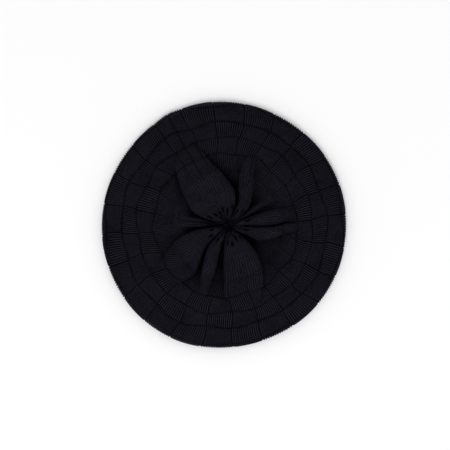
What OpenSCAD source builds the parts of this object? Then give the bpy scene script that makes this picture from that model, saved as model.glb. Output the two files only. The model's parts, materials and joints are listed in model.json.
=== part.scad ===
// Fine-knit beret that lies crown up: one knitted tube, gathered shut at the top, that turns under
// at the rim and is linked to a folded headband with an elastic inside.
// Units are millimetres. +Z is up, z = 0 is the surface it stands on, the back seam is on +Y.

/* [Crown] */
// Outer diameter over the rim
crown_d = 280; // [270:1:300]
// Thickness of the knitted fabric
fabric_t = 1.6; // [1.2:0.1:2]
// Height of the fabric's middle over the headband
top_z = 28.5; // [28:0.5:34]
// Height of the fabric's middle just inside the rim, on the upper side
brim_z = 11.5; // [10:0.5:14]

/* [Gathered centre] */
// How far the gathered point lies off the axis, to the wearer's right and to the front
gather_shift = [5, -2.5]; // [-6:0.5:6]
// Radius of the hole that the draw thread closes
gather_r = 2; // [1.5:0.1:3]
// How deep the gathered point sinks below the folds round it
gather_sink = 5; // [2:0.5:7]
// Height of the tallest fold
fold_h = 10; // [5:0.5:12]

/* [Headband] */
// Inner diameter of the zone that the elastic draws in, relaxed
grip_d = 172; // [168:1:176]
// Height of the folded band
band_h = 22; // [21:0.5:22.5]
// Height of the zone that the elastic draws in
grip_h = 11; // [10.5:0.5:11.5]
// How much further out the band stands above the elastic
seam_ease = 1.2; // [1.1:0.1:1.4]
// Thickness of one layer of the band
layer_t = 1.4; // [1.2:0.1:1.6]

/* [Elastic] */
// Width of the elastic tape
elastic_w = 7; // [5:0.5:7.5]
// Thickness of the elastic tape
elastic_t = 0.5; // [0.4:0.05:0.5]
// Length of the overlap where its ends are sewn together
overlap_len = 14; // [10:1:18]

/* [Size tab] */
// Width of the folded woven tab
tab_w = 12; // [8:1:12]
// Length that hangs below its stitches
tab_len = 7; // [5:0.2:7]
// Thickness of the folded tab
tab_t = 0.4; // [0.3:0.05:0.45]

/* [Hidden] */
$fn = 96;

crown_r = crown_d / 2;
grip_r = grip_d / 2;
channel_w = 1.6;                          // room between the two layers of the band
band_t = 2 * layer_t + channel_w;
seam_r = grip_r + seam_ease;              // inner side of the band above the elastic
flare_h = 1.5;                            // height over which the band widens by seam_ease
fold_round = 1.2;                         // rounding of the fold that the beret stands on
edge_r = seam_r + band_t / 2;             // the crown's edge, between the layers
edge_t = 1.3;                             // the crown's edge is pressed thinner in the band
edge_depth = 2.5;                         // how far that edge reaches into the band
back = 90;                                // angle of the back seam
sweep_n = 60;                             // steps round the crown
gather_z = top_z - gather_sink;
draw_thread_r = 0.7;                      // radius of the draw thread, two yarns together
yarn_r = 0.4;                             // radius of one yarn
linking_r = 0.35;                         // radius of the linking stitches
knot_r = 1.6;                             // radius of the knot in the draw thread
tail_len = 5;                             // length of the draw thread's trimmed ends
gap = 0.05;                               // space left between pieces that only touch
rim_z = 6.2;                              // height of the widest point of the rim
pleat_reach = 16;                         // distance from the gather at which folds stand full
elastic_z = 2.4;                          // lower edge of the elastic
stitch_bar = [0.3, 1.2];                  // thickness and width of a bar of stitches
bar_margin = 0.8;                         // what a bar leaves free at the elastic's edges
tab_clear = 0.6;                          // room between the tab and the band

knit_black = "#17161b";
seam_black = "#201f25";
thread_black = "#1f1e24";
elastic_black = "#2b2b30";
tab_grey = "#3a3a40";

// Knots of the crown's section, radius and height, from the gathered hole to the middle of the
// rim, and from there back in under it to the edge between the layers of the band.
upper_knots = [
    [gather_r + 0.8, gather_z],
    [9, gather_z + 1.5],
    [24, top_z - 1.5],
    [45, top_z],
    [grip_r - 12, top_z],
    [grip_r + 4, top_z - 0.4],
    [grip_r + 14, top_z - 6.2],
    [grip_r + 26, brim_z + 4],
    [crown_r - 14, brim_z + 1.5],
    [crown_r - 4.2, brim_z - 1.5],
];
lower_knots = [
    [crown_r - fabric_t / 2, rim_z],
    [crown_r - 4.2, 2.3],
    [crown_r - 14, 1.2],
    [grip_r + 30, 1.6],
    [grip_r + 20, 5],
    [grip_r + 13, 12.5],
    [edge_r + 5.8, band_h - 2.2],
    [edge_r + 2, band_h + 1.6],
    [edge_r, band_h + 0.3],
    [edge_r, band_h - edge_depth],
];
section_knots = concat(upper_knots, lower_knots);

// Folds of the gathered crown: angle from +X, half width, length from the gather, and height as
// a share of fold_h.
folds = [
    [88, 20, 86, 1.0],
    [37, 9, 66, 0.6],
    [5, 6, 48, 0.35],
    [-18, 11, 66, 0.6],
    [-40, 9, 68, 0.7],
    [-94, 22, 90, 0.9],
    [-141, 8, 72, 0.65],
    [-176, 19, 76, 0.8],
    [150, 6, 44, 0.2],
];

function smooth(t) = let (c = max(0, min(1, t))) c * c * (3 - 2 * c);
function turn(v, a) = [v.x * cos(a), v.x * sin(a), v.y];
function arc(c, r, from, to, n = 6) = [for (i = [0 : n]) let (a = from + (to - from) * i / n)
    c + r * [cos(a), sin(a)]];
function spline(a, b, c, d, t) = 0.5 * (2 * b + (c - a) * t + (2 * a - 5 * b + 4 * c - d) * t * t
    + (3 * b - a - 3 * c + d) * t * t * t);

// The section as a line through its knots, with two steps to a knot on the upper side.
last = len(section_knots) - 1;
middle = [
    for (i = [0 : last - 1], s = i < len(upper_knots) + 1 ? [0, 0.5] : [0])
        spline(section_knots[max(0, i - 1)], section_knots[i], section_knots[i + 1],
            section_knots[min(last, i + 2)], s),
    section_knots[last],
];
upper_rows = 2 * len(upper_knots);
rows = len(middle);
function along(i) = let (a = middle[max(0, i - 1)], b = middle[min(rows - 1, i + 1)])
    (b - a) / norm(b - a);
function across(i) = [-along(i).y, along(i).x];
function thickness(i) = i < rows - 3 ? fabric_t : edge_t;

// How high the folds stand at a radius and angle: each is a rounded ridge that starts at the
// gather, widens outwards and runs out on the flat of the crown.
function ridge(f, r, a) = let (
        side = abs(sin(a - f[0])) * r,
        wide = f[1] * (0.25 + 0.75 * smooth(r / (0.7 * f[2]))),
        lift = smooth(r / pleat_reach) * (1 - smooth((r - 0.55 * f[2]) / (0.5 * f[2]))))
    cos(a - f[0]) < 0 ? 0 : f[3] * fold_h * lift * smooth(1.35 - side / wide);
function fold_height(r, a) = max([for (f = folds) ridge(f, r, a)]);

// A point that lies `out` from the middle of the crown's fabric, on row i of the section and at
// angle a. The folds and the shift of the gather move the upper side only.
function crown_point(i, a, out) = let (
        m = middle[i],
        upper = i < upper_rows,
        lift = upper ? fold_height(m.x, a) : 0,
        pull = upper ? 1 - smooth(m.x / crown_r) : 0)
    turn(m + across(i) * out + [0, lift], a) + pull * [gather_shift.x, gather_shift.y, 0];

// A closed skin over m rings of n points each, which lie in a list one ring after another.
// Closed means that the last ring joins the first, as on the rim of a folded sheet.
module skin(points, m, n, closed) {
    function at(i, k) = (i % m) * n + k % n;
    sides = [for (i = [0 : m - (closed ? 1 : 2)], k = [0 : n - 1]) each [
        [at(i, k), at(i + 1, k), at(i + 1, k + 1)],
        [at(i, k), at(i + 1, k + 1), at(i, k + 1)]]];
    ends = closed ? [] : [[for (k = [n - 1 : -1 : 0]) at(m - 1, k)], [for (k = [0 : n - 1]) k]];
    polyhedron(points = points, faces = concat(sides, ends), convexity = 10);
}

// The knitted tube: gathered top, rim and underside in one piece.
module crown_knit() color(knit_black) {
    outer = [for (i = [0 : rows - 1], k = [0 : sweep_n - 1])
        crown_point(i, 360 * k / sweep_n, thickness(i) / 2)];
    inner = [for (i = [rows - 1 : -1 : 0], k = [0 : sweep_n - 1])
        crown_point(i, 360 * k / sweep_n, -thickness(i) / 2)];
    skin(concat(outer, inner), 2 * rows, sweep_n, closed = true);
}

// The seam that closes the tube at the back: a raised ridge of linked edges along the inside.
seam_w = 2.4;
seam_t = 1;
module back_seam() color(seam_black) {
    first = 3;                            // it starts beside the gathers
    end = rows - 4;                       // and stops where the underside turns over the band
    near = -fabric_t / 2 - 3 * gap;
    points = [for (i = [first : end]) each [for (c = [[-1, 0], [1, 0], [1, 1], [-1, 1]])
        crown_point(i, back, near - c.y * seam_t) + [c.x * seam_w / 2, 0, 0]]];
    skin(points, end - first + 1, 4, closed = false);
}

// The yarn that is threaded through the last loops and drawn tight.
module gather_thread() color(thread_black)
    translate([gather_shift.x, gather_shift.y, gather_z])
        rotate_extrude() translate([gather_r, 0]) circle(draw_thread_r, $fn = 32);

// Its knot under the crown, with the two trimmed ends.
module gather_knot() color(thread_black)
    translate([gather_shift.x, gather_shift.y, gather_z - draw_thread_r - knot_r - gap]) {
        sphere(knot_r, $fn = 32);
        for (side = [-1, 1])
            rotate([0, side * 105, 25 * side]) cylinder(tail_len, r = yarn_r, $fn = 24);
    }

// One strip of rib knit, folded double at the bottom, with its two edges at the top.
module headband() color(knit_black) rotate_extrude() {
    r0 = grip_r;
    r1 = grip_r + band_t;
    widen = [seam_ease, flare_h];
    difference() {
        polygon(concat(
            arc([r0 + fold_round, fold_round], fold_round, 180, 270),
            arc([r1 - fold_round, fold_round], fold_round, -90, 0),
            [[r1, grip_h], [r1, grip_h] + widen, [r1 + seam_ease, band_h],
                [r0 + seam_ease, band_h], [r0, grip_h] + widen, [r0, grip_h]]));
        polygon([
            [r0 + layer_t, layer_t], [r1 - layer_t, layer_t], [r1 - layer_t, grip_h],
            [r1 - layer_t, grip_h] + widen, [r1 - layer_t + seam_ease, band_h + 1],
            [r0 + layer_t + seam_ease, band_h + 1], [r0 + layer_t, grip_h] + widen,
            [r0 + layer_t, grip_h]]);
    }
}

// The linking stitches that hold the crown's edge between the layers, seen on both faces.
linking_z = band_h - 1;
module band_linking() color(thread_black)
    for (r = [seam_r - linking_r - gap, seam_r + band_t + linking_r + gap])
        translate([0, 0, linking_z]) rotate_extrude() translate([r, 0]) circle(linking_r, $fn = 24);

elastic_r = grip_r + layer_t + 3 * gap;   // inner side of the elastic
// Angle that a length takes up along the elastic.
function span(length) = length / elastic_r * 180 / PI;

// The elastic tape inside the fold, with its ends overlapped at the back.
module band_elastic() color(elastic_black) translate([0, 0, elastic_z]) {
    rotate_extrude() translate([elastic_r, 0]) square([elastic_t, elastic_w]);
    rotate(back - span(overlap_len) / 2) rotate_extrude(angle = span(overlap_len))
        translate([elastic_r + elastic_t / 2, 2 * gap])
            square([1.5 * elastic_t, elastic_w - 4 * gap]);
}

// Three bars of stitches across the overlap.
module elastic_join() color(thread_black)
    for (x = [-0.35, 0, 0.35] * overlap_len)
        rotate(back + span(x))
            translate([elastic_r + 2 * elastic_t + gap, -stitch_bar.y / 2, elastic_z + bar_margin])
                cube([stitch_bar.x, stitch_bar.y, elastic_w - 2 * bar_margin]);

// The woven tab hangs from its stitches inside the band, in the room above the elastic.
tab_r = seam_r - tab_clear - tab_t / 2;       // middle of its thickness
tab_pivot_z = band_h - 2.6;
tab_top_z = tab_pivot_z + 0.15;
module size_tab() color(tab_grey) rotate(back)
    translate([tab_r - tab_t / 2, -tab_w / 2, tab_top_z - tab_len]) cube([tab_t, tab_w, tab_len]);

// The row of stitches that holds the tab's upper edge.
module tab_stitches() color(thread_black) rotate(back)
    translate([seam_r - 0.5, tab_w / 2, tab_top_z + 0.3]) rotate([90, 0, 0])
        cylinder(tab_w, r = 0.2, $fn = 24);

crown_knit();
back_seam();
gather_thread();
gather_knot();
headband();
band_linking();
band_elastic();
elastic_join();
size_tab();
tab_stitches();
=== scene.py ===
# %% [markdown]
# # A knitted beret
# A beret of this kind is one knitted tube. Its upper end is gathered shut with a draw thread, it
# turns under at a wide rim, and its lower end is linked to a folded band with an elastic inside.
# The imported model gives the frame: where each of those parts lies and how large it is. Every shape
# below takes its place from there, so the soft pieces fit round the parts that they stand for.

# %% Load the frame
import json
from math import cos, pi, radians, sin, tau

import bmesh
import bpy
import numpy as np
from mathutils import Matrix, Vector


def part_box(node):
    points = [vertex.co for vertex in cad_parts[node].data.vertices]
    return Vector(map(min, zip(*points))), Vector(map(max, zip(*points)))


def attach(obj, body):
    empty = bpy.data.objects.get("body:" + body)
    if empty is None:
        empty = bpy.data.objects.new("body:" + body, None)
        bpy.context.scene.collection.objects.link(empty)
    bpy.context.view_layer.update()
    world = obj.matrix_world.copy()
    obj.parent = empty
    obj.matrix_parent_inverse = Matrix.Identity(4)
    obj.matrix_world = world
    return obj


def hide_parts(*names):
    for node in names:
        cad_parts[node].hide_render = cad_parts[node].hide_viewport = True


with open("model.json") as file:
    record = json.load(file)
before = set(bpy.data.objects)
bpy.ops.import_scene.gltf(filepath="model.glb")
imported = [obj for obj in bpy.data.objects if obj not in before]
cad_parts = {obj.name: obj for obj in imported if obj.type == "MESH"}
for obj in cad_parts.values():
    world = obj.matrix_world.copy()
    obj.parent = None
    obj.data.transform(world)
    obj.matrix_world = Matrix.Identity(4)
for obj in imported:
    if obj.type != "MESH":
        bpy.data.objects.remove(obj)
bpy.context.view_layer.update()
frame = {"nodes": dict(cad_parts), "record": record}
print("nodes", sorted(frame["nodes"]))

# %% [markdown]
# The sizes that everything else is worked out from come from the boxes of a few parts. Lengths
# are metres. A person thinks of cloth in millimetres, so MM turns those into metres.

# %% Sizes from the frame
MM = 0.001

def half_width(node):
    low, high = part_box(node)
    return (high.x - low.x) / 2

CROWN_R = half_width("crown_knit")
BAND_R = half_width("headband")
BAND_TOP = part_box("headband")[1].z
GATHER = sum(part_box("gather_thread"), Vector()) / 2
BACK = 90.0                      # the back seam's angle, in degrees from +X
print(f"crown radius {CROWN_R:.4f}, band radius {BAND_R:.4f}, gather at {GATHER}")

# %% [markdown]
# ## Camera
# The beret is seen from straight above, with its back seam turned to the left of the view's top.
# A lens can be put close or far for the same width of view. A long lens far away is chosen here,
# because from close by the raised folds would look too large beside the rim. The camera stands
# above a point just beside the axis, so that the beret sits a little off the view's middle.

# %% Camera
FRAME_WIDTH = 515 * MM           # how much of the floor the view takes in
SEAM_SHOWS_AT = 117.0            # degrees from the right of the view, anticlockwise
ASIDE = (1.5 * MM, 0.4 * MM, 0)  # the view's middle, right of and above the axis
LENS, SENSOR = 85.0, 36.0

def add_camera():
    data = bpy.data.cameras.new("camera")
    data.lens, data.sensor_width = LENS, SENSOR
    camera = bpy.data.objects.new("camera", data)
    bpy.context.scene.collection.objects.link(camera)
    roll = radians(BACK - SEAM_SHOWS_AT)
    aside = Matrix.Rotation(roll, 3, "Z") @ Vector(ASIDE)
    camera.location = aside + Vector((0, 0, FRAME_WIDTH * LENS / SENSOR))
    camera.rotation_euler = (0, 0, roll)
    bpy.context.scene.camera = camera
    return camera

print("camera at", add_camera().location)

# %% [markdown]
# ## Floor and light
# Black knit shows its folds only by soft shade: the hollows see less of the bright surroundings
# than the tops do. So most of the light comes from all round, and one wide lamp high at the
# front left gives the folds a lit side and the rim its faint shadow on the white floor.

# %% Floor and light
SURROUNDINGS, LAMP_POWER = 0.84, 38

def add_floor():
    mesh = bpy.data.meshes.new("floor")
    bm = bmesh.new()
    bmesh.ops.create_grid(bm, x_segments=1, y_segments=1, size=4)
    bm.to_mesh(mesh)
    bm.free()
    floor = bpy.data.objects.new("floor", mesh)
    bpy.context.scene.collection.objects.link(floor)
    material = bpy.data.materials.new("white_floor")
    material.use_nodes = True
    shader = material.node_tree.nodes["Principled BSDF"]
    shader.inputs["Base Color"].default_value = (0.9, 0.9, 0.9, 1)
    shader.inputs["Roughness"].default_value = 0.9
    mesh.materials.append(material)

def add_lamp(name, place, size, power):
    data = bpy.data.lights.new(name, "AREA")
    data.shape, data.size, data.energy = "DISK", size, power
    lamp = bpy.data.objects.new(name, data)
    lamp.location = place
    lamp.rotation_euler = (-Vector(place)).to_track_quat("-Z", "Y").to_euler()
    bpy.context.scene.collection.objects.link(lamp)

add_floor()
add_lamp("key", (-1.05, -1.2, 3.0), 1.8, LAMP_POWER)
world = bpy.data.worlds.new("surroundings")
world.use_nodes = True
world.node_tree.nodes["Background"].inputs["Color"].default_value = (1, 1, 1, 1)
world.node_tree.nodes["Background"].inputs["Strength"].default_value = SURROUNDINGS
bpy.context.scene.world = world
bpy.context.scene.view_settings.view_transform = "Standard"
print(f"surroundings of strength {SURROUNDINGS} and a lamp of {LAMP_POWER} W")

# %% [markdown]
# ## Sums with sockets
# A knit's pattern is a formula of where a point lies on the fabric. Written as a formula it can be
# read, so this class wraps a socket and turns Python's operators into Math nodes. Every other node
# is made by its one method `node`, which sets the node's own settings first and then its sockets.

# %% A class for shader maths
class Wire:
    def __init__(self, tree, socket):
        self.tree, self.socket = tree, socket

    def node(self, kind, settings, sockets, output=0):
        made = self.tree.nodes.new("ShaderNode" + kind)
        for name, value in settings.items():
            setattr(made, name, value)
        for name, value in sockets.items():
            if isinstance(value, Wire):
                self.tree.links.new(value.socket, made.inputs[name])
            else:
                made.inputs[name].default_value = value
        return Wire(self.tree, made.outputs[output])

    def math(self, operation, *values):
        return self.node("Math", {"operation": operation}, dict(enumerate(values)))

    def __add__(self, other): return self.math("ADD", self, other)
    def __radd__(self, other): return self.math("ADD", other, self)
    def __sub__(self, other): return self.math("SUBTRACT", self, other)
    def __rsub__(self, other): return self.math("SUBTRACT", other, self)
    def __mul__(self, other): return self.math("MULTIPLY", self, other)
    def __rmul__(self, other): return self.math("MULTIPLY", other, self)
    def __pow__(self, other): return self.math("POWER", self, other)
    def __abs__(self): return self.math("ABSOLUTE", self)

    def fraction(self): return self.math("FRACT", self)
    def sine(self): return self.math("SINE", self)

    def mix(self, dark, light):
        """The colour between dark and light that this value, from 0 to 1, stands for."""
        return self.node("Mix", {"data_type": "RGBA"}, {0: self, 6: (*dark, 1), 7: (*light, 1)}, 2)

# %% [markdown]
# ## Knit
# Knitted fabric is rows of small Vs: each stitch has two legs that meet at its foot. The pieces
# carry a UV map that counts stitches, wales across and courses along, so one stitch is one unit
# of it and the Vs follow every fold. The legs are drawn by bump, since they are under a
# millimetre wide, and the gaps between them are darker because light is lost there.

# %% The materials' common parts
def new_material(name, roughness, specular, sheen):
    """A material with its shader's constant values set, and a Wire to start formulas from."""
    material = bpy.data.materials.new(name)
    material.use_nodes = True
    tree = material.node_tree
    shader = tree.nodes["Principled BSDF"]
    shader.inputs["Roughness"].default_value = roughness
    shader.inputs["Specular IOR Level"].default_value = specular
    shader.inputs["Sheen Weight"].default_value = sheen
    shader.inputs["Sheen Roughness"].default_value = 0.45
    return material, tree, shader

def place_on(tree, kind):
    """The Wire of a texture coordinate, and the Wires of its x, y and z."""
    made = tree.nodes.new("ShaderNodeTexCoord")
    start = Wire(tree, made.outputs[kind])
    parts = [start.node("SeparateXYZ", {}, {0: start}, n) for n in range(3)]
    return start, parts

def bump(shader, tree, height, distance):
    wire = height.node("Bump", {}, {"Height": height, "Distance": distance, "Strength": 1.0})
    tree.links.new(wire.socket, shader.inputs["Normal"])

KNIT_SPECULAR, KNIT_SHEEN = 0.01, 0.0       # fine black yarn in daylight has almost no gloss

def knit_material(name, dark, light, stitch_depth):
    material, tree, shader = new_material(name, 0.88, KNIT_SPECULAR, KNIT_SHEEN)
    _, (wale, course, _) = place_on(tree, "UV")
    across = abs(2 * wale.fraction() - 1)
    leg = (pi * across).sine()
    along = (course - 0.55 * across).fraction()
    height = (leg ** 0.6) * (0.3 + 0.7 * (pi * along).sine())
    place, _ = place_on(tree, "Object")
    patches = place.node("TexNoise", {}, {"Vector": place, "Scale": 45.0, "Detail": 3.0})
    tufts = place.node("TexNoise", {}, {"Vector": place, "Scale": 700.0, "Detail": 1.0})
    fibres = place.node("TexNoise", {}, {"Vector": place, "Scale": 2600.0, "Detail": 2.0})
    # painted shade and highlight: the stands attribute darkens the colour in hollows, grooves and
    # pleats and lightens it on crests and at the rim
    stands = place.node("Attribute", {"attribute_name": "stands"}, {}, 2)
    grain = 0.3 * height + 1.5 * (tufts - 0.5) + 0.6 * (patches - 0.5)
    shade = (stands * (0.45 + grain)).mix(dark, light)
    tree.links.new(shade.socket, shader.inputs["Base Color"])
    bump(shader, tree, height + 0.25 * fibres, stitch_depth)
    return material

KNIT_DARK, KNIT_LIGHT = (0.0005, 0.0004, 0.0009), (0.0178, 0.0165, 0.0250)
crown_cloth = knit_material("black_knit", KNIT_DARK, KNIT_LIGHT, 0.35 * MM)
print("material", crown_cloth.name)

# %% [markdown]
# ## The crown's section
# Cut the beret through its axis and the crown is one line: from the gathered hole over the flat
# top, down the step outside the band, over the rim and back under it into the band. The line is
# drawn through a few knots by a Catmull-Rom spline. Its length is the length of the fabric, so
# rows of the knit are counted along it.

# %% The crown's section
SWEEP_STEPS = 24                 # points between two knots

def section_knots():
    """Radius and height of the middle of the fabric at each knot, and how many are on top."""
    rim, band = CROWN_R / MM, BAND_R / MM
    hole, top = GATHER.z / MM, BAND_TOP / MM
    upper = [(0.7, hole - 1.5), (2.8, hole), (9, hole + 1.2), (24, top + 4), (45, top + 6),
             (band - 17, top + 6.5), (band - 2, top + 5.8), (band + 8, top + 0.3),
             (band + 20, top - 6.5), (rim - 14, 13), (rim - 4.2, 10.2)]
    lower = [(rim - 0.8, 6.4), (rim - 4.2, 3.0), (rim - 14, 2.2), (band + 24, 2.8),
             (band + 14, 5.5), (band + 8, 12.5), (band + 3.6, top - 2.2), (band - 0.2, top + 1.7),
             (band - 2.2, top + 0.3), (band - 2.2, top - 2.5)]
    return np.array(upper + lower) * MM, len(upper)

def spline(knots, at):
    """Points of the Catmull-Rom spline through the knots, at fractional knot numbers."""
    i = np.clip(np.floor(at).astype(int), 0, len(knots) - 2)
    t = (at - i)[:, None]
    a, b = knots[np.maximum(i - 1, 0)], knots[i]
    c, d = knots[i + 1], knots[np.minimum(i + 2, len(knots) - 1)]
    return 0.5 * (2 * b + (c - a) * t + (2 * a - 5 * b + 4 * c - d) * t ** 2
                  + (3 * b - a - 3 * c + d) * t ** 3)

def smooth(t):
    t = np.clip(t, 0, 1)
    return t * t * (3 - 2 * t)

knots, on_top = section_knots()
line = spline(knots, np.linspace(0, len(knots) - 1, (len(knots) - 1) * SWEEP_STEPS + 1))
line_at = np.concatenate([[0], np.cumsum(np.hypot(*np.diff(line, axis=0).T))])
RIM_AT = line_at[on_top * SWEEP_STEPS]
END_AT = line_at[-1]

def section(s):
    """Radius and height of the section at distance s along it from the gather."""
    return np.interp(s, line_at, line[:, 0]), np.interp(s, line_at, line[:, 1])

def distance_at(r):
    """Distance along the top of the section at which it has radius r."""
    top = line_at <= RIM_AT
    return float(np.interp(r, line[top, 0], line_at[top]))

print(f"fabric from gather to rim {RIM_AT:.4f} m, from gather to band {END_AT:.4f} m")

# %% [markdown]
# ## The folds
# Gathering takes up the extra width of the fabric in folds that fan out from the thread like
# petals. Each is listed with its height and, at a few distances from the gather, the angles of
# its two feet. A petal's cross-section is a rounded arch whose sides may lean out over its feet.
# Walking along such a round in even steps puts the wales where they lie on real cloth: close
# together, seen from above, where the fabric stands steep.

# %% The folds
PETALS = {
    # height in mm, how far the sides lean out over the first and the other foot, then distance
    # from the gather in mm and the angles of the two feet there
    "thin": (4, 0.6, 0.6, (10, -2, 10), (30, 0, 9), (44, 1, 8), (60, 3, 6)),
    "narrow": (10, 1.3, 1.2, (10, 14, 40), (28, 14, 37), (42, 24, 45), (54, 31, 48), (66, 36, 48),
               (90, 41, 45)),
    "great": (14, 1.4, 1.2, (10, 52, 132), (26, 49, 134), (40, 56, 130), (54, 68, 119),
              (72, 78, 109), (90, 83, 100), (108, 87, 92)),
    "ripple_a": (3, 0.8, 0.8, (10, 139, 146), (30, 140, 146), (52, 142, 146)),
    "ripple_b": (4, 0.8, 1.0, (10, 149, 157), (30, 148, 155), (58, 148, 153)),
    "left": (12, 1.3, 1.1, (10, 163, 188), (34, 163, 196), (48, 167, 204), (62, 172, 210),
             (76, 180, 206), (98, 188, 198)),
    "spear": (11, 1.1, 1.3, (10, 196, 222), (28, 198, 223), (46, 210, 227), (68, 219, 228),
              (92, 224, 228)),
    "front": (13, 1.2, 1.3, (10, 230, 290), (30, 236, 291), (45, 239, 287), (63, 242, 281),
              (75, 242, 275), (102, 250, 264)),
    "ledge": (11, 1.5, 0.8, (10, 304, 326), (26, 308, 329), (37, 308, 330), (51, 317, 331),
              (66, 327, 334), (92, 331, 335)),
    "flat": (9, 0.8, 0.8, (10, 332, 352), (30, 332, 353), (50, 333, 352), (64, 336, 350),
             (84, 340, 347)),
}
RISE = 10 * MM                   # a petal rises to its full height over this distance
RUN_OUT = 0.6                    # and starts to run out at this share of its length
HOLLOW = 10 * MM                 # greatest depth of the hollows between the petals
FOLDS_END = 80 * MM              # from here on there are no hollows
DIPS = [(50, 13, 15, 5), (57, 303, 14, 6), (52, 58, 12, 3)]     # mm out, angle, mm wide, mm deep
GROOVE_R, GROOVE_W = 91 * MM, 5 * MM    # a shallow groove runs round the crown
GROOVE_H, GROOVE_TOWARDS = 2.2 * MM, 153.0      # deepest on the side at this angle

print(f"{len(PETALS)} petals round the gather, the highest {max(p[0] for p in PETALS.values())} mm")

# %% [markdown]
# A round of fabric goes over a petal, down into the hollow after it and on to the next. The hollow
# is as deep as there is room for. Beyond the folds the crown lies nearly level, but for a few dips
# where it sags between the folds and a groove that runs round it.

# %% A folded round
def petals_at(r):
    """The petals that reach distance r: their two feet in degrees, height and two leans."""
    found = []
    for height, lean, other_lean, *feet in PETALS.values():
        at, one, other = np.array(feet, float).T * np.array([[MM], [1], [1]])
        if r < at[-1]:
            lift = smooth((r - 2 * MM) / RISE) * (1 - smooth((r / at[-1] - RUN_OUT) / (1 - RUN_OUT)))
            found.append((np.interp(r, at, one), np.interp(r, at, other), height * MM * lift,
                          lean * smooth(1.6 * lift), other_lean * smooth(1.6 * lift)))
    return sorted(found)

def folded_round(r):
    """Angles in degrees and heights over the section of one round of fabric at distance r."""
    petals, t = petals_at(r), np.linspace(0, 1, 160, endpoint=False)
    if not petals:
        return np.linspace(BACK, BACK + 360, 2880, endpoint=False), np.zeros(2880)
    angles, heights = [], []
    for n, (foot, other, height, lean, other_lean) in enumerate(petals):
        leans = lean * (1 - t) + other_lean * t
        angles.append(foot + (other - foot) * (t - leans * np.sin(tau * t) / tau))
        heights.append(height * np.sin(pi * t) ** 0.8)
        after = petals[0][0] + 360 if n + 1 == len(petals) else petals[n + 1][0]
        room = radians(after - other) * r
        depth = min(HOLLOW, 1.2 * room) * (1 - smooth(r / FOLDS_END)) * smooth((r - 3 * MM) / RISE)
        angles.append(other + (after - other) * t)
        heights.append(-depth * np.sin(pi * t) ** 0.8)
    return np.concatenate(angles), np.concatenate(heights)

def lie(x, y):
    """How far the crown sags at a place between the folds, in metres."""
    sag = 0
    for out, angle, width, depth in DIPS:
        away = (x - out * MM * cos(radians(angle))) ** 2 + (y - out * MM * sin(radians(angle))) ** 2
        sag = sag + depth * MM * np.exp(-away / (width * MM) ** 2)
    towards = 0.55 + 0.45 * np.cos(np.arctan2(y, x) - radians(GROOVE_TOWARDS))
    return sag + GROOVE_H * towards * np.exp(-((np.hypot(x, y) - GROOVE_R) / GROOVE_W) ** 2)

print(f"petals 30 mm from the gather: {len(petals_at(30 * MM))}, at 70 mm: {len(petals_at(70 * MM))}")

# %% [markdown]
# A knit never lies quite regular. The outline leaves the circle by a millimetre or two, most at
# the back seam, where the linked edges hold it out. Each round is first drawn as a fine loop of
# points, and then walked along in even steps, so that every column of points is one wale.

# %% One round of the crown
OUTLINE = [(2, 40, 0.7), (3, 200, 0.9), (5, 75, 0.5)]       # waves round, their angle, mm

def out_of_round(angle, r):
    """How far the outline leaves its circle, in metres, at an angle in radians."""
    waves = sum(size * np.cos(n * (angle - radians(at))) for n, at, size in OUTLINE)
    seam = 1.6 * np.exp(-((angle - radians(BACK)) / 0.09) ** 2)
    return (waves + seam) * MM * smooth((r - 0.6 * CROWN_R) / (0.4 * CROWN_R))

def ring(s, columns, shift=0):
    """One round of the fabric at distance s, in steps that are even along its folds.

    Returns its points and their angles in degrees. The shift, in degrees too, moves the points
    along the fabric.
    """
    r, z = (float(x) for x in section(s))
    upper = s < RIM_AT
    degrees, lift = folded_round(r if upper else CROWN_R)
    a = np.radians(degrees)
    pull = 1 - smooth(r / CROWN_R) if upper else 0
    grow = out_of_round(np.mod(a, tau), r)
    x = GATHER.x * pull + (r + grow) * np.cos(a)
    y = GATHER.y * pull + (r + grow) * np.sin(a)
    loop = np.stack([x, y, z + lift - (lie(x, y) if upper else 0)], axis=1)
    loop = np.vstack([loop, loop[:1]])
    walked = np.concatenate([[0], np.cumsum(np.linalg.norm(np.diff(loop, axis=0), axis=1))])
    turned = np.maximum.accumulate(np.append(degrees, degrees[0] + 360))
    at_back = np.interp(BACK if turned[0] <= BACK else BACK + 360, turned, walked)
    want = at_back + (np.arange(columns) / columns + shift / 360) * walked[-1]
    angles = np.interp(want % walked[-1], walked, turned) + 360 * (want // walked[-1])
    want = want % walked[-1]
    return np.stack([np.interp(want, walked, loop[:, k]) for k in range(3)], axis=1), angles

print("back and front of the round at 60 mm:", ring(60 * MM, 2)[0].round(4).tolist())

# %% [markdown]
# ## The base surface
# The crown's shape is first made as a light grid of points, and the fine knit is laid over it
# afterwards. A cloth simulation could settle this grid, but the folds of a gathered crown would
# then fall as they like, and here each has its own place. Relaxing does what the yarn's tension
# does: it rounds what is too sharp. The wales are straightened too, because a wale that is one
# column of loops can't wave from side to side between its neighbours.

# %% The base surface
BASE_COLUMNS, BASE_ROWS = 624, 200
WALE_BLUR = 21                   # rows over which a wale is straightened
base_s = END_AT * np.linspace(0, 1, BASE_ROWS)

def relax(points, rounds):
    """Moves each point towards the middle of its four neighbours, as tension in a knit does."""
    for _ in range(rounds):
        beside = (np.roll(points, 1, axis=1) + np.roll(points, -1, axis=1))[1:-1]
        middle = (beside + points[:-2] + points[2:]) / 4
        points[1:-1] += 0.5 * (middle - points[1:-1])
    return points

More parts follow.
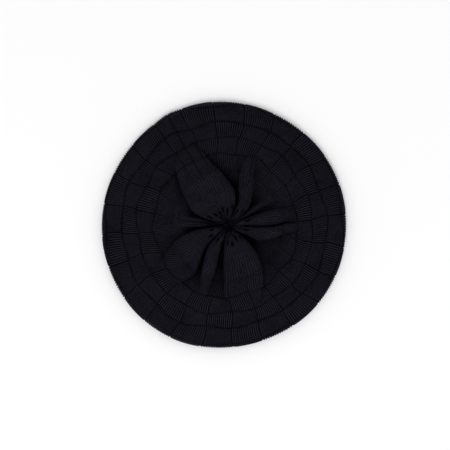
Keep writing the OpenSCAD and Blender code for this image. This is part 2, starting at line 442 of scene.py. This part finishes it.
def blur(values, width, axis, wrap=False):
    """Running mean along one axis, over an odd number of values."""
    pad = [(width // 2, width // 2) if n == axis else (0, 0) for n in range(values.ndim)]
    longer = np.pad(values, pad, mode="wrap" if wrap else "edge")
    sums = np.cumsum(np.insert(longer, 0, 0, axis=axis), axis=axis)
    return (np.take(sums, range(width, sums.shape[axis]), axis)
            - np.take(sums, range(sums.shape[axis] - width), axis)) / width

def straight_wales():
    """Shifts along the fabric, in degrees, that let each wale run on straight from row to row."""
    angles = np.stack([ring(s, BASE_COLUMNS)[1] for s in base_s])
    soft = angles
    for _ in range(3):
        soft = blur(soft, WALE_BLUR, 0)
    return blur(blur(soft - angles, 31, 1, wrap=True), 31, 1, wrap=True)

base = np.stack([ring(s, BASE_COLUMNS, shift)[0] for s, shift in zip(base_s, straight_wales())])
base = relax(base, 6)
print("base surface", base.shape, "top", base[..., 2].max())

# %% [markdown]
# Between the points of the base surface the fabric is found by Catmull-Rom weights in both
# directions, which pass through every point and bend smoothly from one to the next.

# %% Any point of the fabric
def catmull(t):
    """Weights of the four neighbours of a point at fraction t between the middle two."""
    return 0.5 * np.stack([-t + 2 * t ** 2 - t ** 3, 2 - 5 * t ** 2 + 3 * t ** 3,
                           t + 4 * t ** 2 - 3 * t ** 3, -t ** 2 + t ** 3])

def fabric(u, s):
    """Points of the fabric at shares u of a turn from the back seam, and distances s."""
    rows, columns = np.interp(s, base_s, np.arange(len(base_s))), (u % 1) * BASE_COLUMNS
    i, j = np.floor(rows).astype(int), np.floor(columns).astype(int)
    down, across = catmull(rows - i), catmull(columns - j)
    out = np.zeros((len(u), 3))
    for p in range(4):
        for q in range(4):
            near = base[np.clip(i + p - 1, 0, len(base) - 1), (j + q - 1) % BASE_COLUMNS]
            out += (down[p] * across[q])[:, None] * near
    return out

def outward(u, s):
    """The fabric's unit normals on its outer face."""
    du, ds = 0.5 / BASE_COLUMNS, 0.4 * MM
    s = np.clip(s, ds, END_AT - ds)
    round_it = fabric(u + du, s) - fabric(u - du, s)
    down_it = fabric(u, s + ds) - fabric(u, s - ds)
    normal = np.cross(down_it, round_it)
    return normal / np.maximum(np.linalg.norm(normal, axis=1), 1e-12)[:, None]

print("the rim's front faces", outward(np.array([0.5]), np.array([RIM_AT])).round(2).tolist())

# %% [markdown]
# Deep between the folds the knit's colour is given painted shade: it is made a deeper black there
# than on top, as the hollows lie in shade. A blurred map of the crown's height, seen from above,
# tells how high the surroundings of a place are, and so how sunk the place itself is.

# %% How sunk a place is
CELL, BLUR_CELLS, SUNK = 1.5 * MM, 9, 6 * MM

def soft_heights():
    """The crown's height over a square grid of cells, blurred."""
    cells = int(2.1 * CROWN_R / CELL)
    top = base[base_s < RIM_AT].reshape(-1, 3)
    i, j = np.clip((top[:, :2] / CELL + cells / 2).astype(int), 0, cells - 1).T
    height = np.zeros((cells, cells))
    np.maximum.at(height, (i, j), top[:, 2])
    for axis in (0, 1, 0, 1):
        height = blur(height, BLUR_CELLS, axis)
    return height

soft_map = soft_heights()
print(f"the surroundings' greatest height is {soft_map.max():.4f} m")

def sunk(points):
    """How far the points lie below their surroundings: 0 where level, 1 where deep."""
    i, j = np.clip((points[:, :2] / CELL + len(soft_map) / 2).astype(int), 0, len(soft_map) - 1).T
    r = np.hypot(points[:, 0], points[:, 1])
    counts = smooth((0.93 * CROWN_R - r) / (10 * MM)) * (0.5 + 0.5 * smooth(r / (16 * MM)))
    return counts * np.clip((soft_map[i, j] - points[:, 2]) / SUNK, -0.2, 1)

# %% [markdown]
# ## The basket pattern
# Blocks of ribs alternate with plain blocks, 24 round the crown, and each round of blocks is
# turned by one. A rib is high enough to be real geometry. At the ends of a block the ribs dip
# into the plain fabric, which leaves a dotted line, and a fine line runs down each side.

# %% Sizes of the pattern
BLOCKS, RIBS = 24, 13            # blocks round the crown, ribs in a block of the outer rows
RIBS_INWARDS = (13, 12, 10, 9)   # ribs in a block of rows 1 to 4, where the knit narrows
WALES = 2 * BLOCKS * RIBS        # each rib is one wale that stands up and one that lies back
CENTRE_WALES = 156               # fewer, where the knit narrows towards the gather
COURSE = 1.05 * MM
ROW_H = 20 * MM                  # length of a block
FIRST_LINE = distance_at(CROWN_R - 4 * MM)
ROWS_ON_TOP = 4
CHECKS_START = FIRST_LINE - ROWS_ON_TOP * ROW_H
CHECKS_END = END_AT - 9 * MM
RIB_H, PLAIN_H, LINE_H, WALE_H = 1.5 * MM, 1.1 * MM, 0.1 * MM, 0.5 * MM
SIDE_LINE, ROW_LINE = 0.55, 1.5 * MM     # half the lines' widths: in ribs, and in metres
# painted highlight and shade: colour tones of rib crests, plain blocks and wales
RIB_TONE, PLAIN_TONE, WALE_TONE = 1.9, 0.66, 0.65
PLEATS, PLEAT_H = 44, 2.0 * MM   # small pleats round the thread, and how deep they are
SEAM_WIDTH, SEAM_H = 0.0009, 0.7 * MM   # the groove over the back seam, in turns and metres

print(f"{BLOCKS * RIBS} ribs, {WALES} wales, checks from {CHECKS_START:.4f} to {CHECKS_END:.4f} m")

# %% [markdown]
# The relief is one function of a place on the fabric. It gives a height, which becomes geometry,
# and a tone, which the material uses as painted shade and painted highlight: dark deep between two
# ribs, in the grooves and pleats, and light on a rib's crest. The pattern wavers a little, as knit
# does.

# %% Relief of the pattern
def wobble(u, s):
    """Small shifts of the pattern round and along the fabric, as a soft knit has them."""
    a, b = tau * u, s / ROW_H
    scallop = np.sin(pi * BLOCKS * u) * np.cos(pi * (FIRST_LINE - s) / ROW_H)
    return (0.0015 * np.sin(3 * a + 1.7 * b) + 0.0013 * np.sin(7 * a - 2.1 * b + 1),
            MM * (np.sin(4 * a + 0.4 * b) + 0.8 * np.sin(9 * a + 1.3 * b + 2) + 1.1 * scallop))

def pleats(u, s):
    """Depth, from 0 to 1, of the short pleats that the draw thread pulls in round the gather."""
    at = PLEATS * u
    n = np.floor(at) % PLEATS
    across = np.abs(2 * (at % 1) - 1)
    deep = 0
    for start, long, turn in (4, 6, 0.618), (12, 8, 0.382):
        mixed = np.mod(n * turn, 1)
        t = (s / MM - start - 6 * mixed) / (long + 3 * np.mod(2 * mixed + 0.3, 1))
        bell = np.sin(pi * np.clip(t, 0, 1))
        deep = np.maximum(deep, np.clip(1.5 * bell - 2.2 * across, 0, 1))
    return deep

def blocks(u, s):
    """Height of the blocks and of the lines between them, and their painted shade and highlight."""
    du, ds = wobble(u, s)
    block_at = BLOCKS * (u + du) + 0.5
    row_at = (FIRST_LINE - s - ds) / ROW_H
    block, row = np.floor(block_at), np.floor(row_at) + 1
    in_block, in_row = block_at - block, row_at - row + 1
    ribbed = (block + row) % 2 == 0
    ribs = np.array(RIBS_INWARDS)[np.clip(row, 1, ROWS_ON_TOP).astype(int) - 1]
    rib = np.abs(np.sin(pi * ribs * block_at))
    pillow = (1 - (2 * in_block - 1) ** 4) * (1 - (2 * in_row - 1) ** 4)
    plain = PLAIN_H + 0.3 * MM * pillow
    off_side = smooth(np.minimum(in_block, 1 - in_block) * RIBS / SIDE_LINE)
    high = np.where(ribbed, RIB_H * rib, LINE_H + (plain - LINE_H) * off_side)
    # painted highlight on the ribs' crests and painted shade in the fine side lines
    tone = np.where(ribbed, 0.02 + RIB_TONE * rib ** 3, PLAIN_TONE * (0.1 + 0.9 * off_side))
    shallowness = 0.3 + 0.4 * np.sin(5 * tau * u + 2.1 * row) * np.sin(11 * tau * u - row)
    off_line = smooth(np.minimum(in_row, 1 - in_row) * ROW_H / ROW_LINE)
    line_h = LINE_H + (0.3 * rib + shallowness) * MM
    # painted shade: the lines between rows are darker where they are deeper
    line_tone = 0.04 + 0.3 * shallowness + 0.2 * rib
    return line_h + (high - line_h) * off_line, line_tone + (tone - line_tone) * off_line

def relief(u, s):
    """Height of the outer face over the pattern's lowest point, in metres, and its tone.

    The tone is painted shade and highlight: near 0 in a groove and near 1 on top of a rib.
    """
    high, tone = blocks(u, s)
    past_centre = smooth((s - CHECKS_START) / (3 * MM))
    checks = past_centre * (1 - smooth((s - CHECKS_END) / (2 * MM)))
    checks = checks * (0.55 + 0.45 * smooth((s - CHECKS_START - 0.8 * ROW_H) / (0.3 * ROW_H)))
    wale = (np.abs(np.sin(pi * CENTRE_WALES * u)) - 0.6) * (1 - past_centre)
    pleat = pleats(u, s)
    seam = np.exp(-(np.minimum(u, 1 - u) / SEAM_WIDTH) ** 2) * (s > CHECKS_START)
    high = PLAIN_H + (high - PLAIN_H) * checks + WALE_H * wale - PLEAT_H * pleat - SEAM_H * seam
    # painted highlight on the centre's wales and painted shade between them
    tone = PLAIN_TONE + (tone - PLAIN_TONE) * checks + WALE_TONE * wale
    pressed = 1 - 0.6 * smooth((s - END_AT + 6 * MM) / (2 * MM))     # between the band's layers
    # painted shade in the pleats and in the groove over the back seam
    return high * pressed, tone * (1 - 0.85 * pleat) * (1 - 0.7 * seam)

sample = relief(np.linspace(0, 1, 9999), np.full(9999, FIRST_LINE - ROW_H / 2))
print(f"relief along the outer row: {sample[0].min():.5f} to {sample[0].max():.5f} m")

# %% [markdown]
# ## Cloth from grids
# Every cloth piece of the beret starts as a flat grid, which the operator makes together with its
# UV map. Its points are then moved into place, edges that meet are welded, and Solidify gives the
# sheet its thickness. These few steps serve the crown, the band, the elastic and the tab.

# %% Cloth from grids
def grid_piece(name, columns, rows):
    """A flat grid with a UV map, and the share of the way across and along of each point."""
    bm = bmesh.new()
    bm.loops.layers.uv.new("stitches")
    bmesh.ops.create_grid(bm, x_segments=columns, y_segments=rows, size=0.5, calc_uvs=True)
    mesh = bpy.data.meshes.new(name)
    bm.to_mesh(mesh)
    bm.free()
    flat = np.zeros(len(mesh.vertices) * 3)
    mesh.vertices.foreach_get("co", flat)
    flat = flat.reshape(-1, 3)
    return mesh, flat[:, 0] + 0.5, flat[:, 1] + 0.5

def set_uv(mesh, at):
    """Sets the UV map from a pair of numbers for each point."""
    loops = np.zeros(len(mesh.loops), int)
    mesh.loops.foreach_get("vertex_index", loops)
    mesh.uv_layers[0].data.foreach_set("uv", at[loops].astype(np.float32).ravel())

def count_stitches(mesh, u, s, wales, course):
    """Sets the UV map so that one unit is one stitch."""
    set_uv(mesh, np.stack([u * wales, s / course], axis=1))

def finish_mesh(mesh, weld=True):
    """Welds the edges that meet and shades the faces smooth."""
    bm = bmesh.new()
    bm.from_mesh(mesh)
    if weld:
        edge = [v for v in bm.verts if v.is_boundary]
        bmesh.ops.remove_doubles(bm, verts=edge, dist=0.002 * MM)
    for face in bm.faces:
        face.smooth = True
    bm.to_mesh(mesh)
    bm.free()

def show(name, mesh, material, body, slot, *nodes):
    """Puts a finished mesh in the scene as the piece that stands for these nodes."""
    piece = bpy.data.objects.new(name, mesh)
    bpy.context.scene.collection.objects.link(piece)
    mesh.materials.append(material)
    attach(piece, body)
    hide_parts(*nodes)
    print(f"{name}: {len(mesh.polygons)} faces")
    return piece

def thicken(piece, thickness, offset):
    """Gives a sheet its thickness: inwards from its face at offset -1, to both sides at 0."""
    solid = piece.modifiers.new("thickness", "SOLIDIFY")
    solid.thickness, solid.offset = thickness, offset
    solid.use_even_offset = False
    solid.use_rim = True

# %% [markdown]
# ## Laying the knit
# The grid's points go onto the fabric and out along its normals by the relief. The crown is laid
# in a few stretches that meet in the lines between rows of blocks, because one mesh with every
# rib would be too heavy to pass on.

# %% Laying the crown's knit
CLOTH_T = 1.3 * MM               # thickness behind the relief
OUTER_FACE = -0.3 * MM           # the lowest point of the relief over the middle of the fabric
TABLE_GAP = 0.1 * MM             # the ribs of the underside are pressed flat on the table
SUNK_SHADE = 0.85                # painted shade: how much of its tone the knit loses in the deepest places
PAINTED_RIM_SHEEN, PAINTED_RIM_SHEEN_W = 1.5, 4 * MM       # painted sheen: how much lighter the knit's colour is made at the rim, and over what width

def lay_knit(name, distances, columns, wales=WALES):
    """A stretch of the crown whose rows of points lie at these distances from the gather."""
    mesh, u, v = grid_piece(name, columns, len(distances) - 1)
    u = 1 - u                    # so that the faces point outwards
    s = np.interp(v, np.linspace(0, 1, len(distances)), distances)
    count_stitches(mesh, u, s, wales, COURSE)
    high, tone = relief(u, s)
    points = fabric(u, s) + outward(u, s) * (OUTER_FACE + high)[:, None]
    points[:, 2] = np.maximum(points[:, 2], TABLE_GAP)
    # painted sheen: 0 inside, rising to 1 at the rim's edge, where the colour is lightened
    rim = smooth((np.hypot(points[:, 0], points[:, 1]) - CROWN_R + PAINTED_RIM_SHEEN_W) / PAINTED_RIM_SHEEN_W)
    # painted shade and painted sheen: the colour is darkened where the place is sunk and lightened at
    # the rim
    stands = tone * (1 - SUNK_SHADE * sunk(points)) * (1 + PAINTED_RIM_SHEEN * rim)
    mesh.attributes.new("stands", "FLOAT", "POINT").data.foreach_set("value", stands)
    mesh.vertices.foreach_set("co", points.ravel())
    finish_mesh(mesh)
    piece = show(name, mesh, crown_cloth, "beret", "knit", "crown_knit")
    thicken(piece, CLOTH_T, -1)

def check_rows(start, end):
    """Distances for the rows of points: close together at the pattern's lines, apart between."""
    near = np.array([-2.2, -1.3, -0.7, -0.2, 0.2, 0.7, 1.3, 2.2]) * MM
    between = np.array([0.27, 0.42, 0.58, 0.73]) * ROW_H
    lines = FIRST_LINE + ROW_H * np.arange(-ROWS_ON_TOP, 6)
    found = np.concatenate([lines[:, None] + near, lines[:, None] + between], axis=1).ravel()
    found = np.sort(found[(found > start + 0.15 * MM) & (found < end - 0.15 * MM)])
    return np.concatenate([[start], found, [end]])

COLUMNS = 4 * BLOCKS * RIBS
centre_s = np.concatenate([np.arange(0, 24, 0.7), np.arange(24, CHECKS_START / MM, 1.2)]) * MM
centre_s = np.append(centre_s, CHECKS_START)
line_2 = FIRST_LINE - ROW_H
under = FIRST_LINE + ROW_H
lay_knit("crown_centre", centre_s, 4 * CENTRE_WALES, CENTRE_WALES)
lay_knit("crown_blocks_inner", check_rows(CHECKS_START, line_2), COLUMNS)
lay_knit("crown_blocks_rim", check_rows(line_2, under), COLUMNS)
lay_knit("crown_blocks_under", check_rows(under, END_AT), COLUMNS)

# %% [markdown]
# ## Headband
# The band is one strip of one-by-one rib knit, folded double: the fold is its lower edge, and the
# crown's edge is linked between its two top edges. Every second wale comes forward, and on the
# other face the wales between do, so the whole strip is one fine corrugation. It is a grid too,
# bent along a U. The U widens above the elastic, where nothing draws the knit in.

# %% Headband
mounts = {mount["name"]: mount for mount in frame["record"]["mounts"]}
GRIP_R = mounts["head_opening"]["dims"]["r_mm"] * MM
LAYER, FLARE, FLARE_H = 1.4 * MM, 1.2 * MM, 1.5 * MM
DRAWN_IN_H = 11 * MM             # height of the zone that the elastic draws in
BAND_RIBS, BAND_RIB_H, BAND_CLOTH_T = 246, 0.2 * MM, 0.9 * MM
BAND_COURSE = 0.9 * MM

def band_path():
    """Radius and height of the strip's middle, from its inner top edge round to its outer one."""
    inner, outer = GRIP_R + LAYER / 2, BAND_R - FLARE - LAYER / 2
    bend = (outer - inner) / 2
    turn = np.linspace(pi, tau, 9)
    fold = np.stack([inner + bend + bend * np.cos(turn), LAYER / 2 + bend + bend * np.sin(turn)], 1)
    heights = [BAND_TOP, BAND_TOP - 5 * MM, DRAWN_IN_H + FLARE_H, DRAWN_IN_H, DRAWN_IN_H / 2]
    wider = np.array([FLARE, FLARE, FLARE, 0, 0])
    down = np.stack([inner + wider, heights], 1)
    up = np.stack([outer + wider, heights], 1)[::-1]
    return np.vstack([down, fold, up])

def path_lengths(path):
    return np.concatenate([[0], np.cumsum(np.linalg.norm(np.diff(path, axis=0), axis=1))])

def sides_of(path):
    """Unit vectors square to a flat path, on its right-hand side."""
    along = np.gradient(path, axis=0)
    along /= np.linalg.norm(along, axis=1)[:, None]
    return np.stack([along[:, 1], -along[:, 0]], axis=1)

def fold_band():
    path = band_path()
    walked, side = path_lengths(path), sides_of(path)
    mesh, u, v = grid_piece("headband_rib", 6 * BAND_RIBS, len(path) - 1)
    row = np.rint(v * (len(path) - 1)).astype(int)
    wave = np.cos(tau * BAND_RIBS * u)
    section_at = path[row] + side[row] * (BAND_RIB_H * wave)[:, None]
    angle = radians(BACK) + tau * u
    points = np.stack([section_at[:, 0] * np.cos(angle), section_at[:, 0] * np.sin(angle),
                       section_at[:, 1]], axis=1)
    count_stitches(mesh, u, walked[row], 2 * BAND_RIBS, BAND_COURSE)
    # painted shade and highlight: the colour is darker in the rib valleys and lighter on the crests
    mesh.attributes.new("stands", "FLOAT", "POINT").data.foreach_set("value", 0.72 + 0.28 * wave)
    mesh.vertices.foreach_set("co", points.ravel())
    finish_mesh(mesh)
    band = show("headband_rib", mesh, band_cloth, "beret", "rib_knit", "headband")
    thicken(band, BAND_CLOTH_T, 0)
    return walked[-1]

band_cloth = knit_material("rib_knit_black", KNIT_DARK, KNIT_LIGHT, 0.3 * MM)
print(f"band strip is {fold_band():.4f} m wide before it is folded")

# %% [markdown]
# ## Thread
# Sewing thread is two plies twisted together. A single stitch is a long rounded bead, whose own UV
# map runs round and along it, so the groove between the plies is a slanting line in that map. One
# bead is made by an operator and copied for each stitch, and the copies' points are then turned to
# their three directions all at once, because an operator on each copy would slow down as they grow.

# %% Thread and stitches
def thread_material(name, dark, light):
    material, tree, shader = new_material(name, 0.7, 0.04, 0.0)
    _, (around, along, _) = place_on(tree, "UV")
    ply = (pi * (2 * around + 3 * along).fraction()).sine() ** 0.7
    place, _ = place_on(tree, "Object")
    fibres = place.node("TexNoise", {}, {"Vector": place, "Scale": 3500.0, "Detail": 2.0})
    # painted shade in the groove between the plies and painted highlight on their tops
    shade = (0.65 * ply + 0.5 * fibres).mix(dark, light)
    tree.links.new(shade.socket, shader.inputs["Base Color"])
    bump(shader, tree, ply + 0.3 * fibres, 0.12 * MM)
    return material

def make_bead():
    """A bead one unit in radius with its length along Z, and the places of its points."""
    bm = bmesh.new()
    bm.loops.layers.uv.new("stitches")
    bmesh.ops.create_uvsphere(bm, u_segments=8, v_segments=6, radius=1, calc_uvs=True)
    for face in bm.faces:
        face.smooth = True
    mesh = bpy.data.meshes.new("bead")
    bm.to_mesh(mesh)
    bm.free()
    return mesh, np.array([v.co for v in mesh.vertices])

def sew(name, stitches, size, node, slot="thread"):
    """One piece of beads, each given by its middle, its length's direction and its width's."""
    bead, shape = make_bead()
    bm = bmesh.new()
    points = []
    for middle, along, across in stitches:
        bm.from_mesh(bead)
        along, across = Vector(along).normalized(), Vector(across).normalized()
        turned = [across * size[1] / 2, along.cross(across) * size[2] / 2, along * size[0] / 2]
        points.append(shape @ np.array(turned) + np.array(middle))
    mesh = bpy.data.meshes.new(name)
    bm.to_mesh(mesh)
    bm.free()
    mesh.vertices.foreach_set("co", np.concatenate(points).ravel())
    return show(name, mesh, black_thread, "beret", slot, node)

def turned_by(angle):
    """Unit vectors outwards and onwards at an angle round the axis, in radians."""
    return Vector((cos(angle), sin(angle), 0)), Vector((-sin(angle), cos(angle), 0))

black_thread = thread_material("black_thread", (0.0008, 0.0007, 0.0012), (0.0130, 0.0120, 0.0170))
print("material", black_thread.name)

# %% [markdown]
# ## Linking stitches
# Linking joins the crown's edge and the band loop by loop. It shows on both faces of the band as a
# row of small slanting stitches just under the top edge, about three millimetres apart.

# %% Linking stitches
LINKS, LINK_SIZE = 168, (3.1 * MM, 0.7 * MM, 0.6 * MM)

def link_band():
    low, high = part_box("band_linking")
    height = (low.z + high.z) / 2
    reach = high.x - LINK_SIZE[2] / 2
    faces = [(reach, 0.35), (GRIP_R + FLARE - LINK_SIZE[2] / 2 - 0.05 * MM, -0.35)]
    stitches = []
    for radius, slant in faces:
        for n in range(LINKS):
            out, on = turned_by(tau * n / LINKS)
            middle = out * radius + Vector((0, 0, height))
            stitches.append((middle, on + Vector((0, 0, slant * 0.5)), out))
    return sew("band_linking_stitches", stitches, LINK_SIZE, "band_linking")

link_band()

# %% [markdown]
# ## Elastic
# The elastic is a narrow woven tape with rubber cords inside, which show as fine ridges along it.
# It lies hidden in the fold of the band, and its ends overlap at the back, where three bars of
# stitches hold them. A grid wound a little more than once round makes it, stepping outwards by
# its own thickness where it passes over its first end.

# %% Elastic
OVERLAP, CORDS = 14 * MM, 9

def elastic_material():
    material, tree, shader = new_material("woven_elastic", 0.75, 0.1, 0.0)
    _, (along, across, _) = place_on(tree, "UV")
    warp = (pi * across.fraction()).sine()
    weft = (pi * (along + 0.5 * across.math("FLOOR", across)).fraction()).sine()
    place, _ = place_on(tree, "Object")
    fibres = place.node("TexNoise", {}, {"Vector": place, "Scale": 3000.0, "Detail": 2.0})
    dark, light = (0.004, 0.004, 0.005), (0.030, 0.030, 0.034)
    # painted shade between the cords and the weft's threads, lighter on their tops
    shade = (0.4 * warp + 0.35 * weft + 0.35 * fibres).mix(dark, light)
    tree.links.new(shade.socket, shader.inputs["Base Color"])
    bump(shader, tree, warp + 0.6 * weft, 0.1 * MM)
    return material

def wind_elastic():
    low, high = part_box("band_elastic")
    thick = (high.y + low.y) / 2             # the overlap makes the back that much thicker
    radius = high.x - thick / 2
    half = OVERLAP / radius / 2
    mesh, u, v = grid_piece("elastic_tape", 480, 4 * CORDS)
    angle = radians(BACK) - half + u * (tau + 2 * half)
    step = smooth((angle - radians(BACK) - tau + 2.2 * half) / (0.6 * half))
    ridge = 0.06 * MM * np.abs(np.sin(pi * CORDS * v))
    r = radius + step * 1.05 * thick + ridge
    z = low.z + v * (high.z - low.z)
    mesh.vertices.foreach_set("co", np.stack([r * np.cos(angle), r * np.sin(angle), z], 1).ravel())
    weave = np.stack([u * tau * radius / (0.7 * MM), v * CORDS], 1)
    set_uv(mesh, weave)
    finish_mesh(mesh, weld=False)
    tape = show("elastic_tape", mesh, elastic_material(), "beret", "elastic", "band_elastic")
    thicken(tape, thick - 0.1 * MM, 0)

def join_elastic():
    low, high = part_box("elastic_join")
    radius = high.y - 0.15 * MM
    stitches = []
    for bar in (-0.35, 0, 0.35):
        out, on = turned_by(radians(BACK) + bar * OVERLAP / radius)
        for n in range(9):
            height = low.z + (n + 0.5) / 9 * (high.z - low.z)
            slant = Vector((0, 0, 0.45 if n % 2 else -0.45))
            stitches.append((out * radius + Vector((0, 0, height)), on + slant, out))
    sew("elastic_join_stitches", stitches, (1.3 * MM, 0.35 * MM, 0.3 * MM), "elastic_join")

wind_elastic()
join_elastic()

# %% [markdown]
# ## Draw thread and knot
# The last loops of the crown hang on a thread of two plies, drawn tight and knotted below. Each
# ply is a grid rolled into a tube along a path. Its UV map runs round and along it, like a bead's.

# %% Yarn from a grid
def roll_yarn(path, radius, closed=False):
    """A grid rolled into a tube of yarn along a path. A closed path ends where it starts."""
    mesh, u, v = grid_piece("yarn", 10, len(path) - 1)
    longer = np.vstack([path[-2:-1], path, path[1:2]]) if closed else path
    along = np.gradient(longer, axis=0)
    along = along[1:-1] if closed else along
    along /= np.linalg.norm(along, axis=1)[:, None]
    side = np.cross(along, (0.11, 0.23, 0.97))
    side /= np.linalg.norm(side, axis=1)[:, None]
    over = np.cross(along, side)
    row = np.rint(v * (len(path) - 1)).astype(int)
    taper = np.ones(len(row)) if closed else np.sqrt(1 - np.abs(2 * v - 1) ** 60)
    thick = (radius * taper)[:, None]
    points = path[row] + thick * (side[row] * np.cos(tau * u)[:, None]
                                  + over[row] * np.sin(tau * u)[:, None])
    mesh.vertices.foreach_set("co", points.ravel())
    set_uv(mesh, np.stack([u, v * path_lengths(path)[-1] / (2 * MM)], 1))
    finish_mesh(mesh)
    return mesh

def one_mesh(name, meshes):
    bm = bmesh.new()
    for mesh in meshes:
        bm.from_mesh(mesh)
    joined = bpy.data.meshes.new(name)
    bm.to_mesh(joined)
    bm.free()
    return joined

# %% [markdown]
# Two paths that wind round the same ring give the thread its twist. The knot's path is an
# overhand knot, which is a trefoil cut open at one lobe.

# %% Draw thread and knot
def draw_thread():
    low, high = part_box("gather_thread")
    ply = (high.z - low.z) / 4
    radius = (high.x - low.x) / 2 - 2 * ply
    t = np.linspace(0, tau, 73)
    plies = []
    for start in (0, pi):
        r = radius + ply * np.cos(6 * t + start)
        path = np.stack([r * np.cos(t), r * np.sin(t), ply * np.sin(6 * t + start)], 1)
        plies.append(roll_yarn(path + np.array(GATHER), 1.05 * ply, closed=True))
    show("draw_thread", one_mesh("draw_thread", plies), black_thread, "beret", "thread",
         "gather_thread")

def tie_knot():
    low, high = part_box("gather_knot")
    middle = np.array([GATHER.x, GATHER.y, high.z - 1.6 * MM])
    t = np.linspace(pi + 0.35, 3 * pi - 0.35, 40)
    lobes = np.stack([np.sin(t) + 2 * np.sin(2 * t), -np.sin(3 * t),
                      np.cos(t) - 2 * np.cos(2 * t)], 1)
    reach = (high.x - low.x) / 2 - 0.4 * MM
    tails = reach * np.array([(-1, 0.45, -0.30), (-0.5, 0.25, -0.32)])
    other = tails[::-1] * (-1, 1, 1)
    through = np.vstack([tails, 0.4 * MM * lobes, other])
    path = spline(through, np.linspace(0, len(through) - 1, 130))
    yarn = roll_yarn(path + middle, 0.32 * MM)
    show("gather_knot_yarn", yarn, black_thread, "beret", "thread", "gather_knot")

draw_thread()
tie_knot()

# %% [markdown]
# ## Back seam
# The tube is closed at the back by linking its two edges. Inside, the linked edges stand up as a
# narrow ridge of loops: a chain of Vs, made of beads set in pairs all along the fabric's inner
# face. Their places come from the fabric itself, so the ridge follows every fold.

# %% Back seam
SEAM_STEP = 2.1 * MM
SEAM_FROM = distance_at(16 * MM)         # it starts beside the gathers
SEAM_DEPTH = 1.5 * MM                    # below the middle of the fabric

def close_back():
    s = np.arange(SEAM_FROM, END_AT - 8 * MM, SEAM_STEP)
    u = np.zeros(len(s))
    places, normals = fabric(u, s), outward(u, s)
    onward = np.gradient(places, axis=0)
    stitches = []
    for place, normal, on in zip(places, normals, onward):
        normal, on = Vector(normal), Vector(on).normalized()
        aside = normal.cross(on)
        for side in (-1, 1):
            middle = Vector(place) - normal * SEAM_DEPTH + aside * side * 0.55 * MM
            stitches.append((middle, on + aside * side * 0.5, normal))
    return sew("back_seam_chain", stitches, (2.6 * MM, 0.95 * MM, 1.0 * MM), "back_seam", "seam")

close_back()

# %% [markdown]
# ## Size tab
# A short piece of satin ribbon, folded in half and sewn by its top edge inside the band at the
# back. It carries no print. A ribbon's weave is much finer than knit: long threads along it cross
# thin ones, in steps that shift from row to row.

# %% Size tab
RIBBON_T, RIBBON_THREAD = 0.13 * MM, 0.28 * MM

def ribbon_material():
    material, tree, shader = new_material("satin_ribbon", 0.5, 0.25, 0.0)
    _, (across, along, _) = place_on(tree, "UV")
    rows = across.math("FLOOR", across)
    floats = (pi * (0.25 * along + 0.375 * rows).fraction()).sine()
    threads = (pi * across.fraction()).sine()
    place, _ = place_on(tree, "Object")
    fibres = place.node("TexNoise", {}, {"Vector": place, "Scale": 2500.0, "Detail": 2.0})
    dark, light = (0.020, 0.020, 0.024), (0.075, 0.075, 0.085)
    # painted highlight on the satin's floats and painted shade between the threads
    shade = (0.5 * floats * threads + 0.5 * fibres).mix(dark, light)
    tree.links.new(shade.socket, shader.inputs["Base Color"])
    bump(shader, tree, floats * threads, 0.06 * MM)
    return material

def fold_tab():
    low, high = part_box("size_tab")
    near, far = low.y + RIBBON_T / 2, high.y - RIBBON_T / 2
    bend = (far - near) / 2
    turn = np.linspace(0, -pi, 7)
    bottom = low.z + RIBBON_T / 2 + bend
    fold = np.stack([near + bend + bend * np.cos(turn), bottom + bend * np.sin(turn)], 1)
    steps = np.linspace(high.z, bottom, 18)[:-1]
    path = np.vstack([np.stack([np.full(17, far), steps], 1), fold,
                      np.stack([np.full(17, near), steps[::-1]], 1)])
    walked = path_lengths(path)
    mesh, u, v = grid_piece("size_tab_ribbon", 20, len(path) - 1)
    row = np.rint(v * (len(path) - 1)).astype(int)
    x = low.x + u * (high.x - low.x)
    mesh.vertices.foreach_set("co", np.stack([x, path[row, 0], path[row, 1]], 1).ravel())
    set_uv(mesh, np.stack([x / RIBBON_THREAD, walked[row] / RIBBON_THREAD], 1))
    finish_mesh(mesh, weld=False)
    tab = show("size_tab_ribbon", mesh, ribbon_material(), "tab", "tab", "size_tab")
    thicken(tab, RIBBON_T, 0)

def sew_tab():
    low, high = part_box("tab_stitches")
    middle = (low + high) / 2
    count = 6
    stitches = [(Vector((low.x + (n + 0.5) / count * (high.x - low.x), middle.y, middle.z)),
                 (1, 0, 0.12), (0, 1, 0)) for n in range(count)]
    sew("tab_sewing", stitches, (1.7 * MM, 0.4 * MM, 0.4 * MM), "tab_stitches")

sew_tab()
fold_tab()
